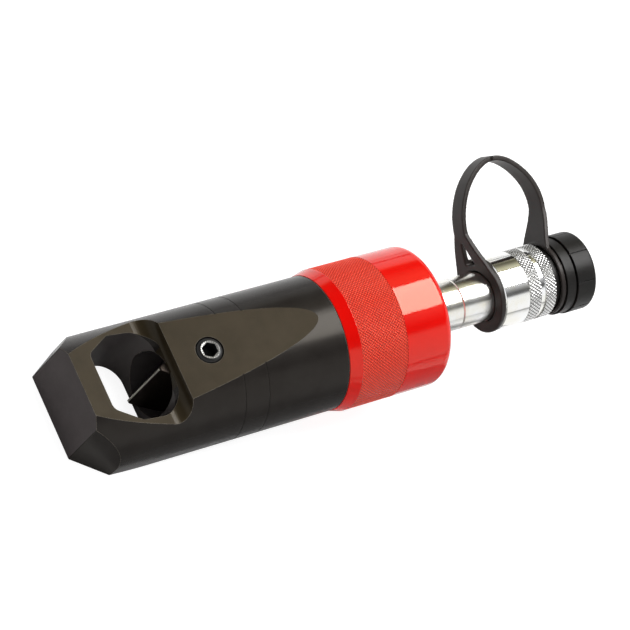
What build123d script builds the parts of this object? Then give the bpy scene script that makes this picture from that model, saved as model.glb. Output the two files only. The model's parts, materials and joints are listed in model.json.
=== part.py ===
from build123d import *
from math import acos, asin, cos, radians, sin, sqrt, tan
import os

# Hydraulic nut splitter: an angled head with a nut window, a chisel that slides parallel
# to the flange face, and a single-acting cylinder whose axis rises from the flange face.
# The origin is the middle of the nut window on the flange face. +Z runs along the nut's
# axis, -X points to the nose, and y = 0 is the plane of symmetry.
# Stations are distances along the cylinder axis from the front face of the head.

# Head
head_tilt = 14.0
flange_thickness = 28.8
nose_to_origin = 25.0
axis_rise = 0.5
body_radius = 31.2
body_length = 131.4
nose_half_width = 20.2
nose_facet_angle = 33.0
nose_corner_radius = 0.8
step_distance = 45.0
step_fillet = 7.6
ramp_start_height = 20.1
ramp_angle = 5.2
ring_line_stations = (78.2, 90.1)
ring_line_depth = 0.15
ring_line_width = 0.5

# Nut window
window_front = 10.4
window_rear = 44.1
window_half_width = 20.6
window_front_half_width = 13.4
window_side_angle = 30.0
window_front_corner = 4.0
window_rear_corner = 11.0

# Chisel, sliding in a bore parallel to the flange face
chisel_radius = 14.6
chisel_axis_height = 17.2
chisel_fit = 0.05
chisel_edge_distance = 39.6
chisel_edge_flat = 0.5
chisel_wedge_angle = 60.0
chisel_end_chamfer = 1.0
chisel_to_wiper = 7.6
ram_stroke = 13.0

# Guide screw in the ramp, with a dog point that runs in the chisel's slot
screw_station = 68.9
screw_head_radius = 5.95
screw_head_height = 7.9
screw_head_proud = 0.7
screw_head_chamfer = 0.6
screw_hex_size = 6.35
screw_hex_depth = 4.0
screw_shank_radius = 3.95
screw_dog_radius = 2.6
screw_dog_reach = 2.5
counterbore_clearance = 0.4
thread_fit = 0.02
slot_clearance = 0.3
slot_depth = 3.6

# Ram and its tee bolt
rod_radius = 12.0
rod_fit = 0.05
bore_radius = 22.0
piston_fit = 0.05
piston_length = 16.0
contact_gap = 0.3
tee_head_radius = 6.5
tee_head_thickness = 4.0
tee_neck_radius = 3.8
tee_neck_length = 3.4
tee_shank_length = 12.0
tee_clearance = 0.4
ring_groove_depth = 2.6
ring_groove_wall = 2.0
seal_width = 3.2
backup_width = 1.6
wear_ring_width = 3.6
ring_standoff = 0.03

# Rod guide wall in the head, with wiper and spring seat
spring_pocket_length = 4.0
wiper_setback = 6.4
wiper_width = 4.0
wiper_depth = 2.6
spring_chamber_radius = 20.5
spring_seat_thickness = 2.0
spring_seat_radius = 19.8
spring_seat_hole_clearance = 0.4

# Return spring
spring_wire_radius = 1.8
spring_mean_radius = 16.4
spring_turns = 6.0
spring_gap = 0.05

# Cylinder base
base_radius = 33.0
collar_length = 55.2
base_front_gap = 0.25
base_front_step = 0.2
base_rear_fillet = 4.0
spigot_wall = 4.5
spigot_length = 19.4
spigot_end_gap = 0.6
end_wall = 11.6
bore_end_gap = 1.0
oring_offset = 2.2
oring_width = 3.0
oring_depth = 1.9
oring_fit = 0.02
port_radius = 8.4
port_depth = 9.0
oilway_radius = 3.0
grip_offset = 6.0
grip_length = 24.2
grip_knurl_depth = 0.3

# Lock screw through the head's wall onto the spigot
lock_screw_setback = 8.4
lock_screw_radius = 3.0
lock_screw_sunk = 0.6
lock_screw_gap = 0.5
lock_screw_hex = 3.0

# Port adapter
adapter_length = 20.6
neck_radius = 12.1
adapter_thread_gap = 0.4
joint_chamfer = 0.45
socket_radius = 8.0
socket_depth = 10.5
socket_end_gap = 0.5
adapter_passage = 3.5

# Coupler body, inside the sleeve
body_flange_radius = 14.2
body_flange_gap = 0.7
mouth_depth = 12.6
valve_chamber_radius = 6.5
valve_chamber_setback = 8.8
seat_wall = 3.6
seat_radius = 4.2
face_seal_radius = 10.4
face_seal_section = 1.0
face_seal_proud = 0.35

# Coupler sleeve
sleeve_radius = 17.6
neck_length = 19.7
sleeve_length = 29.7
sleeve_lip = 1.8
running_gap = 0.3
sleeve_mouth_radius = 14.6
sleeve_edge_chamfer = 0.6
knurl_offset = 14.3
knurl_depth = 0.35
knurl_groove_width = 0.6
knurl_groove_depth = 0.5
knurl_band_length = 6.4
knurl_recess_width = 2.7
knurl_recess_depth = 0.7
retainer_offset = 6.6
retainer_section = 0.8
retainer_clearance = 0.3

# Valve in the coupler
poppet_head_radius = 5.9
poppet_head_length = 4.0
poppet_nose_radius = 3.2
poppet_nose_reach = 3.2
poppet_stem_radius = 2.0
poppet_stem_setback = 1.5
poppet_seal_width = 1.4
poppet_seal_depth = 1.0
poppet_seal_gap = 0.3
poppet_gap = 0.3
guide_disc_thickness = 3.0
guide_hole_radius = 0.9
guide_hole_count = 6
poppet_wire_radius = 0.45
poppet_spring_radius = 4.7
poppet_spring_turns = 6.0

# Dust cap
cap_plug_gap = 0.5
cap_plug_length = 9.4
cap_neck_radius = 15.6
cap_neck_length = 5.4
cap_flange_radius = 18.2
cap_flange_length = 5.0
cap_groove_width = 0.7
cap_groove_depth = 0.9
cap_drum_radius = 18.9
cap_length = 22.2
cap_edge_fillet = 1.6
cap_wall = 2.6
cap_slit_count = 8
cap_slit_width = 0.5
cap_slit_depth = 0.5
cap_slit_phase = 42.0

# Dust strap: an arch in a plane through the axis, rolled about the axis. The legs' shapes
# are offsets from the ring or the eye along the axis, at shares of the arch's height.
strap_roll = 28.0
strap_thickness = 2.4
strap_ring_radius = 17.8
strap_ring_gap = 0.3
strap_end_gap = 0.3
arch_height = 61.4
front_leg_shape = ((0.0, 0.10), (-2.4, 0.30), (-4.3, 0.52), (-1.0, 0.74), (6.5, 0.91))
rear_leg_shape = ((-2.8, 0.87), (3.4, 0.71), (5.0, 0.53), (1.0, 0.30), (0.0, 0.10))
strap_width = 9.0
strap_cap_width = 11.0
strap_eye_radius = 17.5
fork_top = 30.0
cap_taper_top = 33.0
cap_foot_half_width = 9.8
fork_slot_width = 8.0
fork_slot_foot = 2.4
fork_slot_top = 27.6
fork_slot_corner = 0.8

margin = 20.0
tilt = radians(head_tilt)
axis_start = Vector(-nose_to_origin, 0, axis_rise)
axis_direction = Vector(cos(tilt), 0, sin(tilt))
axis_normal = Vector(-sin(tilt), 0, cos(tilt))
cylinder_axis = Axis(axis_start, axis_direction)


def section_plane():
    """Plane y = 0 with its x along the cylinder axis and its y towards the ramp."""
    return Plane(origin=axis_start, x_dir=axis_direction, z_dir=(0, -1, 0))


def cross_plane(station):
    """Plane across the cylinder axis at a station, its x towards +Y of the model."""
    return Plane(origin=axis_start + axis_direction * station, x_dir=(0, 1, 0), z_dir=axis_direction)


def finish(piece, name):
    """Label a finished piece and write it as one STEP file."""
    piece.label = name
    export_step(piece, f"parts/{name}.step")


def slab_x(distance):
    """Model x of a distance behind the front face, measured along the flange face."""
    return distance - nose_to_origin


os.makedirs("parts", exist_ok=True)

# Stations and radii that follow from the driving sizes
spigot_radius = bore_radius + spigot_wall
spigot_start = body_length - spigot_length
oring_station = spigot_start + oring_offset
lock_screw_station = body_length - lock_screw_setback
guide_wall_end = spigot_start - spring_pocket_length
wiper_station = guide_wall_end - wiper_setback
chisel_rear_station = wiper_station - chisel_to_wiper
base_end = body_length + collar_length
grip_start = body_length + grip_offset
grip_end = grip_start + grip_length
bore_bottom = base_end - end_wall
piston_rear = bore_bottom - bore_end_gap
piston_front_station = piston_rear - piston_length
adapter_end = base_end + adapter_length
valve_chamber_start = adapter_end + valve_chamber_setback
sleeve_start = adapter_end + neck_length
sleeve_end = sleeve_start + sleeve_length
body_flange_start = sleeve_start + sleeve_lip + body_flange_gap
body_front = sleeve_end - mouth_depth
retainer_station = body_flange_start + retainer_offset
knurl_start = sleeve_start + knurl_offset
knurl_recess_start = knurl_start + knurl_band_length
cap_start = sleeve_end + running_gap
cap_end = cap_start + cap_length
rod_bore_start = chisel_rear_station - ram_stroke - contact_gap
chisel_top = chisel_axis_height + chisel_radius
chisel_bore_end = (chisel_rear_station + chisel_top * sin(tilt)) / cos(tilt)
ramp_rise = tan(radians(ramp_angle))
screw_head_z = ramp_start_height + screw_station * ramp_rise
ramp_normal = Vector(-sin(tilt + radians(ramp_angle)), 0, cos(tilt + radians(ramp_angle)))
screw_seat = axis_start + axis_direction * screw_station + axis_normal * screw_head_z
screw_to_chisel = (screw_seat.Z - chisel_top) / ramp_normal.Z
screw_plane = Plane(origin=screw_seat, x_dir=(0, 1, 0), z_dir=ramp_normal)
counterbore_radius = screw_head_radius + counterbore_clearance
counterbore_depth = screw_head_height - screw_head_proud

# Head: turned body, milled to the flange slab, pad, step and ramp
with BuildPart() as splitter_head:
    with BuildSketch(section_plane()) as body_profile:
        with BuildLine():
            Polyline(
                (-margin, 0),
                (body_length, 0),
                (body_length, body_radius),
                (-margin, body_radius),
                close=True,
            )
        make_face()
    revolve(axis=cylinder_axis)
    with BuildSketch(section_plane()) as ring_lines:
        for station in ring_line_stations:
            with Locations((station, body_radius)):
                Rectangle(ring_line_width, 2 * ring_line_depth)
    revolve(axis=cylinder_axis, mode=Mode.SUBTRACT)
    facet_reach = body_radius + margin
    facet_run = (facet_reach - nose_half_width) / tan(radians(nose_facet_angle))
    with BuildSketch(Plane.XY) as plan_outline:
        with BuildLine():
            Polyline(
                (slab_x(0), -nose_half_width),
                (slab_x(facet_run), -facet_reach),
                (slab_x(body_length + margin), -facet_reach),
                (slab_x(body_length + margin), facet_reach),
                (slab_x(facet_run), facet_reach),
                (slab_x(0), nose_half_width),
                close=True,
            )
        make_face()
        nose_corners = plan_outline.vertices().group_by(Axis.X)[0]
        fillet(nose_corners, radius=nose_corner_radius)
    extrude(amount=body_length, mode=Mode.INTERSECT)
    with BuildSketch(Plane.XZ) as pad_profile:
        with BuildLine():
            pad_run = Line(
                (slab_x(-margin), flange_thickness),
                (slab_x(step_distance - step_fillet), flange_thickness),
            )
            step_arc = RadiusArc(
                pad_run @ 1,
                (slab_x(step_distance), flange_thickness + step_fillet),
                -step_fillet,
            )
            Polyline(
                step_arc @ 1,
                (slab_x(step_distance), flange_thickness + body_length),
                (slab_x(-margin), flange_thickness + body_length),
                pad_run @ 0,
            )
        make_face()
    extrude(amount=facet_reach, both=True, mode=Mode.SUBTRACT)
    ramp_origin = axis_start + axis_normal * ramp_start_height
    ramp_slope = tan(tilt + radians(ramp_angle))
    ramp_foot = ramp_origin.Z + (slab_x(step_distance) - ramp_origin.X) * ramp_slope
    with BuildSketch(Plane.XZ) as ramp_profile:
        with BuildLine():
            Polyline(
                (slab_x(step_distance), ramp_foot),
                (slab_x(step_distance + body_length), ramp_foot + body_length * ramp_slope),
                (slab_x(step_distance + body_length), flange_thickness + body_length),
                (slab_x(step_distance), flange_thickness + body_length),
                close=True,
            )
        make_face()
    extrude(amount=facet_reach, both=True, mode=Mode.SUBTRACT)
    side_run = (window_half_width - window_front_half_width) / tan(radians(window_side_angle))
    with BuildSketch(Plane.XY) as window_outline:
        with BuildLine():
            Polyline(
                (slab_x(window_front), -window_front_half_width),
                (slab_x(window_front + side_run), -window_half_width),
                (slab_x(window_rear), -window_half_width),
                (slab_x(window_rear), window_half_width),
                (slab_x(window_front + side_run), window_half_width),
                (slab_x(window_front), window_front_half_width),
                close=True,
            )
        make_face()
        rear_corners = window_outline.vertices().group_by(Axis.X)[-1]
        fillet(rear_corners, radius=window_rear_corner)
        front_corners = window_outline.vertices().group_by(Axis.X)[0]
        fillet(front_corners, radius=window_front_corner)
    extrude(amount=body_length, mode=Mode.SUBTRACT)
    chisel_bore_start = Plane(origin=(slab_x(window_front), 0, chisel_axis_height), z_dir=(1, 0, 0))
    with BuildSketch(chisel_bore_start.offset(side_run)) as chisel_bore:
        Circle(chisel_radius + chisel_fit)
    extrude(amount=chisel_bore_end - window_front - side_run, mode=Mode.SUBTRACT)
    with BuildSketch(section_plane()) as cylinder_bores:
        with BuildLine():
            Polyline(
                (rod_bore_start, 0),
                (rod_bore_start, rod_radius + rod_fit),
                (wiper_station, rod_radius + rod_fit),
                (wiper_station, rod_radius + wiper_depth),
                (wiper_station + wiper_width, rod_radius + wiper_depth),
                (wiper_station + wiper_width, rod_radius + rod_fit),
                (guide_wall_end, rod_radius + rod_fit),
                (guide_wall_end, spring_chamber_radius),
                (spigot_start - spigot_end_gap, spring_chamber_radius),
                (spigot_start - spigot_end_gap, spigot_radius + thread_fit),
                (body_length, spigot_radius + thread_fit),
                (body_length, 0),
                close=True,
            )
        make_face()
    revolve(axis=cylinder_axis, mode=Mode.SUBTRACT)
    with BuildSketch(screw_plane) as counterbore:
        Circle(counterbore_radius)
    extrude(amount=-counterbore_depth, mode=Mode.SUBTRACT)
    extrude(counterbore.sketch, amount=margin, mode=Mode.SUBTRACT)
    with BuildSketch(screw_plane) as screw_hole:
        Circle(screw_shank_radius + thread_fit)
    extrude(amount=-(screw_to_chisel + screw_dog_reach), mode=Mode.SUBTRACT)
    lock_plane = Plane(
        origin=axis_start + axis_direction * lock_screw_station,
        x_dir=axis_direction,
        z_dir=(0, 1, 0),
    )
    with BuildSketch(lock_plane.offset(spigot_radius)) as lock_hole:
        Circle(lock_screw_radius + thread_fit)
    extrude(amount=body_radius - spigot_radius, mode=Mode.SUBTRACT)
finish(splitter_head.part, "splitter_head")

# Chisel: a round bar with a wedge point, a guide slot on top and a tee slot behind
with BuildPart() as chisel:
    chisel_start = Plane(origin=(slab_x(chisel_edge_distance), 0, chisel_axis_height), z_dir=(1, 0, 0))
    with BuildSketch(chisel_start) as chisel_round:
        Circle(chisel_radius)
    extrude(amount=chisel_bore_end - chisel_edge_distance + margin)
    nose_edges = chisel.faces().sort_by(Axis.X)[0].edges()
    chamfer(nose_edges, length=chisel_end_chamfer)
    wedge_run = chisel_radius / tan(radians(chisel_wedge_angle / 2))
    flank_reach = chisel_edge_flat / 2 + chisel_radius
    with BuildSketch(Plane.XY) as wedge_flanks:
        for side in (-1, 1):
            with BuildLine():
                Polyline(
                    (slab_x(chisel_edge_distance), side * chisel_edge_flat / 2),
                    (slab_x(chisel_edge_distance + wedge_run), side * flank_reach),
                    (slab_x(chisel_edge_distance), side * flank_reach),
                    close=True,
                )
            make_face()
    extrude(amount=chisel_top + margin, mode=Mode.SUBTRACT)
    with BuildSketch(section_plane()) as rear_cut:
        with BuildLine():
            Polyline(
                (chisel_rear_station, -body_radius - margin),
                (chisel_rear_station + 3 * margin, -body_radius - margin),
                (chisel_rear_station + 3 * margin, body_radius + margin),
                (chisel_rear_station, body_radius + margin),
                close=True,
            )
        make_face()
    extrude(amount=chisel_radius + margin, both=True, mode=Mode.SUBTRACT)
    slot_front = screw_seat.X - ramp_normal.X * screw_to_chisel - screw_dog_radius - slot_clearance
    slot_half_width = screw_dog_radius + slot_clearance
    slot_length = slab_x(chisel_bore_end) - slot_front + margin
    with BuildSketch(Plane.XY.offset(chisel_top - slot_depth)) as guide_slot:
        with Locations((slot_front, 0)):
            Rectangle(slot_length, 2 * slot_half_width, align=(Align.MIN, Align.CENTER))
    extrude(amount=slot_depth + margin, mode=Mode.SUBTRACT)
    tee_neck_start = chisel_rear_station - tee_neck_length
    tee_slot_start = tee_neck_start - tee_head_thickness - tee_clearance
    with BuildSketch(Plane(origin=axis_start, x_dir=axis_direction, z_dir=axis_normal)) as tee_slot:
        with BuildLine():
            Polyline(
                (tee_slot_start, -tee_head_radius - tee_clearance),
                (tee_neck_start + tee_clearance, -tee_head_radius - tee_clearance),
                (tee_neck_start + tee_clearance, -tee_neck_radius - tee_clearance),
                (chisel_rear_station + margin, -tee_neck_radius - tee_clearance),
                (chisel_rear_station + margin, tee_neck_radius + tee_clearance),
                (tee_neck_start + tee_clearance, tee_neck_radius + tee_clearance),
                (tee_neck_start + tee_clearance, tee_head_radius + tee_clearance),
                (tee_slot_start, tee_head_radius + tee_clearance),
                close=True,
            )
        make_face()
    extrude(amount=body_radius, both=True, mode=Mode.SUBTRACT)
finish(chisel.part, "chisel")

# Guide screw with a hexagon socket and a dog point
with BuildPart() as guide_screw:
    with BuildSketch(screw_plane.offset(-counterbore_depth)) as screw_head:
        Circle(screw_head_radius)
    extrude(amount=screw_head_height)
    chamfer(guide_screw.faces().sort_by(Axis.Z)[-1].edges(), length=screw_head_chamfer)
    shank_lift = contact_gap + screw_shank_radius * tan(tilt + radians(ramp_angle))
    with BuildSketch(screw_plane.offset(-screw_to_chisel + shank_lift)) as screw_shank:
        Circle(screw_shank_radius)
    extrude(amount=screw_to_chisel - shank_lift - counterbore_depth)
    with BuildSketch(screw_plane.offset(-screw_to_chisel - screw_dog_reach)) as screw_dog:
        Circle(screw_dog_radius)
    extrude(amount=screw_dog_reach + shank_lift)
    with BuildSketch(screw_plane.offset(screw_head_proud)) as screw_hex:
        RegularPolygon(screw_hex_size / 2, 6, major_radius=False)
    extrude(amount=-screw_hex_depth, mode=Mode.SUBTRACT)
finish(guide_screw.part, "guide_screw")


def turned(name, points):
    """A ring or shaft turned about the cylinder axis from (station, radius) points."""
    with BuildPart() as piece:
        with BuildSketch(section_plane()):
            with BuildLine():
                Polyline(*points, close=True)
            make_face()
        revolve(axis=cylinder_axis)
    finish(piece.part, name)


def ring_points(start, end, inner, outer):
    """Corners of a plain ring's half-section."""
    return [(start, inner), (end, inner), (end, outer), (start, outer)]


# Rod wiper and spring seat in the head
turned(
    "rod_wiper",
    ring_points(
        wiper_station + thread_fit,
        wiper_station + wiper_width - thread_fit,
        rod_radius + ring_standoff,
        rod_radius + wiper_depth - thread_fit,
    ),
)
turned(
    "spring_seat",
    ring_points(
        guide_wall_end,
        guide_wall_end + spring_seat_thickness,
        rod_radius + spring_seat_hole_clearance,
        spring_seat_radius,
    ),
)

# Ram: rod and piston in one piece, with three ring grooves and a threaded nose
piston_radius = bore_radius - piston_fit
wear_start = piston_front_station + ring_groove_wall
seal_start = wear_start + wear_ring_width + ring_groove_wall
backup_start = seal_start + seal_width
groove_floor = piston_radius - ring_groove_depth
rod_front = chisel_rear_station + contact_gap
tee_head_front = tee_slot_start + tee_clearance / 2
turned(
    "ram",
    [
        (rod_front, tee_neck_radius),
        (rod_front, rod_radius),
        (piston_front_station, rod_radius),
        (piston_front_station, piston_radius),
        (wear_start, piston_radius),
        (wear_start, groove_floor),
        (wear_start + wear_ring_width, groove_floor),
        (wear_start + wear_ring_width, piston_radius),
        (seal_start, piston_radius),
        (seal_start, groove_floor),
        (backup_start + backup_width, groove_floor),
        (backup_start + backup_width, piston_radius),
        (piston_rear, piston_radius),
        (piston_rear, 0),
        (rod_front + tee_shank_length, 0),
        (rod_front + tee_shank_length, tee_neck_radius),
    ],
)
turned(
    "ram_tee_bolt",
    [
        (tee_head_front, 0),
        (tee_head_front, tee_head_radius),
        (tee_head_front + tee_head_thickness, tee_head_radius),
        (tee_head_front + tee_head_thickness, tee_neck_radius - thread_fit),
        (rod_front + tee_shank_length - contact_gap, tee_neck_radius - thread_fit),
        (rod_front + tee_shank_length - contact_gap, 0),
    ],
)
ring_outer = bore_radius - ring_standoff
wear_end = wear_start + wear_ring_width
backup_end = backup_start + backup_width
turned("piston_wear_ring", ring_points(wear_start, wear_end, groove_floor, ring_outer))
turned("piston_seal", ring_points(seal_start, backup_start, groove_floor, ring_outer))
turned("piston_backup_ring", ring_points(backup_start, backup_end, groove_floor, ring_outer))


def coil_spring(name, start, end, mean_radius, wire_radius, turns):
    """A round-wire coil on the cylinder axis between two stations."""
    length = end - start - 2 * wire_radius
    foot = axis_start + axis_direction * (start + wire_radius)
    with BuildPart() as piece:
        with BuildLine():
            path = Helix(length / turns, length, mean_radius, center=foot, direction=axis_direction)
        with BuildSketch(Plane(origin=path @ 0, z_dir=path % 0)):
            Circle(wire_radius)
        sweep(path=path, is_frenet=True)
    finish(piece.part, name)


coil_spring(
    "return_spring",
    guide_wall_end + spring_seat_thickness + spring_gap,
    piston_front_station - spring_gap,
    spring_mean_radius,
    spring_wire_radius,
    spring_turns,
)

# Cylinder base: collar, spigot, bore and port
with BuildPart() as cylinder_base:
    base_front = body_length + base_front_gap
    with BuildSketch(section_plane()) as base_profile:
        with BuildLine():
            Polyline(
                (spigot_start, bore_radius),
                (spigot_start, spigot_radius),
                (oring_station, spigot_radius),
                (oring_station, spigot_radius - oring_depth),
                (oring_station + oring_width, spigot_radius - oring_depth),
                (oring_station + oring_width, spigot_radius),
                (base_front, spigot_radius),
                (base_front, body_radius + base_front_step),
                (grip_start, base_radius),
                (grip_start, base_radius - grip_knurl_depth),
                (grip_end, base_radius - grip_knurl_depth),
                (grip_end, base_radius),
                (base_end - base_rear_fillet, base_radius),
            )
            RadiusArc(
                (base_end - base_rear_fillet, base_radius),
                (base_end, base_radius - base_rear_fillet),
                base_rear_fillet,
            )
            Polyline(
                (base_end, base_radius - base_rear_fillet),
                (base_end, port_radius),
                (base_end - port_depth, port_radius),
                (base_end - port_depth, oilway_radius),
                (bore_bottom, oilway_radius),
                (bore_bottom, bore_radius),
                (spigot_start, bore_radius),
            )
        make_face()
    revolve(axis=cylinder_axis)
finish(cylinder_base.part, "cylinder_base")
turned(
    "base_seal",
    ring_points(
        oring_station + oring_fit,
        oring_station + oring_width - oring_fit,
        spigot_radius - oring_depth,
        spigot_radius,
    ),
)

# Lock screw: a grub screw with a hexagon socket
with BuildPart() as base_lock_screw:
    lock_top = body_radius - lock_screw_sunk
    lock_screw_length = lock_top - spigot_radius - lock_screw_gap
    with BuildSketch(lock_plane.offset(lock_top - lock_screw_length)) as lock_round:
        Circle(lock_screw_radius)
    extrude(amount=lock_screw_length)
    with BuildSketch(lock_plane.offset(lock_top)) as lock_hex:
        RegularPolygon(lock_screw_hex / 2, 6, major_radius=False)
    extrude(amount=-lock_screw_length / 2, mode=Mode.SUBTRACT)
finish(base_lock_screw.part, "base_lock_screw")

# Port adapter between the base and the coupler
turned(
    "port_adapter",
    [
        (base_end - port_depth + adapter_thread_gap, adapter_passage),
        (base_end - port_depth + adapter_thread_gap, port_radius - thread_fit),
        (base_end, port_radius - thread_fit),
        (base_end, neck_radius),
        (adapter_end - joint_chamfer, neck_radius),
        (adapter_end, neck_radius - joint_chamfer),
        (adapter_end, socket_radius),
        (adapter_end - socket_depth, socket_radius),
        (adapter_end - socket_depth, adapter_passage),
    ],
)

# Coupler body: neck, flange inside the sleeve, valve chamber and seat
with BuildPart() as coupler_body:
    seat_start = body_front - seat_wall
    retainer_radius = body_flange_radius
    face_seal_depth = 2 * face_seal_section - face_seal_proud
    with BuildSketch(section_plane()) as coupler_profile:
        with BuildLine():
            Polyline(
                (adapter_end - socket_depth + socket_end_gap, adapter_passage),
                (adapter_end - socket_depth + socket_end_gap, socket_radius - thread_fit),
                (adapter_end, socket_radius - thread_fit),
                (adapter_end, neck_radius - joint_chamfer),
                (adapter_end + joint_chamfer, neck_radius),
                (body_flange_start, neck_radius),
                (body_flange_start, body_flange_radius),
                (body_front, body_flange_radius),
                (body_front, seat_radius),
                (seat_start, seat_radius),
                (seat_start, valve_chamber_radius),
                (valve_chamber_start, valve_chamber_radius),
                (valve_chamber_start, adapter_passage),
                close=True,
            )
        make_face()
        with Locations((retainer_station, retainer_radius)):
            Circle(retainer_section, mode=Mode.SUBTRACT)
        with Locations((body_front, face_seal_radius)):
            Rectangle(2 * face_seal_depth, 2 * face_seal_section, mode=Mode.SUBTRACT)
    revolve(axis=cylinder_axis)
finish(coupler_body.part, "coupler_body")

# Wire ring that keeps the sleeve on the coupler body
with BuildPart() as sleeve_retainer:
    with BuildSketch(section_plane()) as retainer_wire:
        with Locations((retainer_station, retainer_radius)):
            Circle(retainer_section)
    revolve(axis=cylinder_axis)
finish(sleeve_retainer.part, "sleeve_retainer")

# Face seal in the coupler body's front
with BuildPart() as coupler_face_seal:
    with BuildSketch(section_plane()) as face_seal_ring:
        with Locations((body_front - face_seal_section + face_seal_proud, face_seal_radius)):
            Circle(face_seal_section)
    revolve(axis=cylinder_axis)
finish(coupler_face_seal.part, "coupler_face_seal")

# Coupler sleeve: polished rear, two knurled bands with a recess between them
with BuildPart() as coupler_sleeve:
    inner_radius = body_flange_radius + running_gap
    groove_radius = retainer_radius + retainer_section + retainer_clearance
    groove_half = retainer_section + retainer_clearance
    knurl_root = sleeve_radius - knurl_depth
    knurl_recess_end = knurl_recess_start + knurl_recess_width
    with BuildSketch(section_plane()) as sleeve_profile:
        with BuildLine():
            Polyline(
                (sleeve_start, neck_radius + running_gap),
                (sleeve_start, sleeve_radius - sleeve_edge_chamfer),
                (sleeve_start + sleeve_edge_chamfer, sleeve_radius),
                (knurl_start - knurl_groove_width, sleeve_radius),
                (knurl_start - knurl_groove_width, sleeve_radius - knurl_groove_depth),
                (knurl_start, sleeve_radius - knurl_groove_depth),
                (knurl_start, knurl_root),
                (knurl_recess_start, knurl_root),
                (knurl_recess_start, sleeve_radius - knurl_recess_depth),
                (knurl_recess_end, sleeve_radius - knurl_recess_depth),
                (knurl_recess_end, knurl_root),
                (sleeve_end - sleeve_edge_chamfer, knurl_root),
                (sleeve_end, knurl_root - sleeve_edge_chamfer),
                (sleeve_end, sleeve_mouth_radius),
                (body_front, sleeve_mouth_radius),
                (body_front, inner_radius),
                (retainer_station + groove_half, inner_radius),
                (retainer_station + groove_half, groove_radius),
                (retainer_station - groove_half, groove_radius),
                (retainer_station - groove_half, inner_radius),
                (sleeve_start + sleeve_lip, inner_radius),
                (sleeve_start + sleeve_lip, neck_radius + running_gap),
                close=True,
            )
        make_face()
    revolve(axis=cylinder_axis)
finish(coupler_sleeve.part, "coupler_sleeve")

# Valve poppet, its seal, spring and guide
poppet_front = seat_start - poppet_gap
poppet_head_start = poppet_front - poppet_head_length
poppet_stem_start = valve_chamber_start + poppet_stem_setback
poppet_seal_start = poppet_head_start + (poppet_head_length - poppet_seal_width) / 2
turned(
    "coupler_poppet",
    [
        (poppet_stem_start, 0),
        (poppet_stem_start, poppet_stem_radius),
        (poppet_head_start, poppet_stem_radius),
        (poppet_head_start, poppet_head_radius),
        (poppet_seal_start, poppet_head_radius),
        (poppet_seal_start, poppet_head_radius - poppet_seal_depth),
        (poppet_seal_start + poppet_seal_width, poppet_head_radius - poppet_seal_depth),
        (poppet_seal_start + poppet_seal_width, poppet_head_radius),
        (poppet_front, poppet_head_radius),
        (poppet_front, poppet_nose_radius),
        (poppet_front + poppet_nose_reach, poppet_nose_radius),
        (poppet_front + poppet_nose_reach, 0),
    ],
)
turned(
    "poppet_seal",
    ring_points(
        poppet_seal_start,
        poppet_seal_start + poppet_seal_width,
        poppet_head_radius - poppet_seal_depth,
        valve_chamber_radius - poppet_seal_gap,
    ),
)
with BuildPart() as poppet_guide:
    with BuildSketch(cross_plane(valve_chamber_start)) as guide_disc:
        Circle(valve_chamber_radius - thread_fit)
        Circle(poppet_stem_radius + rod_fit, mode=Mode.SUBTRACT)
        with PolarLocations((poppet_stem_radius + valve_chamber_radius) / 2, guide_hole_count):
            Circle(guide_hole_radius, mode=Mode.SUBTRACT)
    extrude(amount=guide_disc_thickness)
finish(poppet_guide.part, "poppet_guide")
coil_spring(
    "poppet_spring",
    valve_chamber_start + guide_disc_thickness + spring_gap,
    poppet_head_start - spring_gap,
    poppet_spring_radius,
    poppet_wire_radius,
    poppet_spring_turns,
)

# Dust cap: plug in the sleeve's mouth, neck, flange and slit drum
cap_flange_start = cap_start + cap_neck_length
cap_groove_start = cap_flange_start + cap_flange_length
cap_drum_start = cap_groove_start + cap_groove_width
cap_plug_radius = sleeve_mouth_radius - cap_plug_gap
with BuildPart() as dust_cap:
    with BuildSketch(section_plane()) as cap_profile:
        with BuildLine():
            Polyline(
                (cap_start - cap_plug_length, cap_plug_radius - cap_wall),
                (cap_start - cap_plug_length, cap_plug_radius),
                (cap_start, cap_plug_radius),
                (cap_start, cap_neck_radius),
                (cap_flange_start, cap_neck_radius),
                (cap_flange_start, cap_flange_radius),
                (cap_groove_start, cap_flange_radius),
                (cap_groove_start, cap_flange_radius - cap_groove_depth),
                (cap_drum_start, cap_flange_radius - cap_groove_depth),
                (cap_drum_start, cap_drum_radius),
                (cap_end - cap_edge_fillet, cap_drum_radius),
            )
            RadiusArc(
                (cap_end - cap_edge_fillet, cap_drum_radius),
                (cap_end, cap_drum_radius - cap_edge_fillet),
                cap_edge_fillet,
            )
            Polyline(
                (cap_end, cap_drum_radius - cap_edge_fillet),
                (cap_end, 0),
                (cap_end - cap_wall, 0),
                (cap_end - cap_wall, cap_plug_radius - cap_wall),
                (cap_start - cap_plug_length, cap_plug_radius - cap_wall),
            )
        make_face()
    revolve(axis=cylinder_axis)
    with BuildSketch(cross_plane(cap_drum_start)) as slits:
        with PolarLocations(cap_drum_radius, cap_slit_count, start_angle=cap_slit_phase):
            Rectangle(2 * cap_slit_depth, cap_slit_width)
    extrude(amount=cap_end - cap_drum_start - cap_edge_fillet, mode=Mode.SUBTRACT)
finish(dust_cap.part, "dust_cap")

# Dust strap: a ring on the neck, a forked leg, an arch and a leg that widens to the cap's eye
roll = radians(strap_roll)
strap_direction = Vector(0, cos(roll), 0) + axis_normal * sin(roll)
arch_plane = Plane(origin=axis_start, x_dir=axis_direction, z_dir=axis_direction.cross(strap_direction))
ring_end = sleeve_start - strap_ring_gap
ring_start = ring_end - strap_thickness
ring_middle = (ring_start + ring_end) / 2
eye_end = cap_flange_start - strap_ring_gap
eye_start = eye_end - strap_thickness
eye_middle = (eye_start + eye_end) / 2
arch_middle = (ring_middle + eye_middle) / 2


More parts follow.
